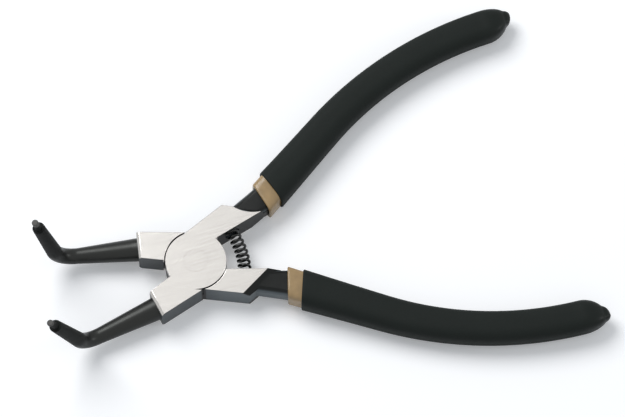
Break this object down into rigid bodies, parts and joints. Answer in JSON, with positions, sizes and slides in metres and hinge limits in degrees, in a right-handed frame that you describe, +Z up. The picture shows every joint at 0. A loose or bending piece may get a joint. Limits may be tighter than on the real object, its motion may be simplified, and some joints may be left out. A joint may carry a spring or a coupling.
{
  "type": "circlip pliers",
  "caption": "Internal circlip pliers with round jaws bent upwards to stepped tip pins, a lap joint with a flush rivet, a coil return spring and dipped handles.",
  "frame": {"origin": "on the pivot's axis, at the underside of the lap joint", "axes": "+X along the tool from the pivot towards the handles, +Z up along the pivot's axis, towards which the tips bend"},
  "size_m": [0.1787, 0.1176, 0.04],
  "materials": {
    "forged_steel": "faces ground bright, sides and jaws black oxide",
    "rivet_steel": "ground flush with the joint's faces",
    "spring_steel": "black oxide wire",
    "tan_dip": "tan dipped vinyl, satin",
    "black_dip": "black dipped vinyl, matt and slightly pebbled"
  },
  "bodies": {
    "bottom": {"bottom_half": "forged_steel", "pivot_rivet": "rivet_steel", "return_spring": "spring_steel", "bottom_inner_dip": "tan_dip", "bottom_grip": "black_dip"},
    "top": {"top_half": "forged_steel", "top_inner_dip": "tan_dip", "top_grip": "black_dip"}
  },
  "joints": [
    {"name": "pivot", "type": "hinge", "parent": "bottom", "child": "top", "pos_m": [0, 0, 0], "axis": [0, 0, -1], "range_deg": [0, 33], "stiffness_Nm_per_rad": 2.5, "springref_deg": -5.73, "deforming": ["return_spring"]}
  ]
}
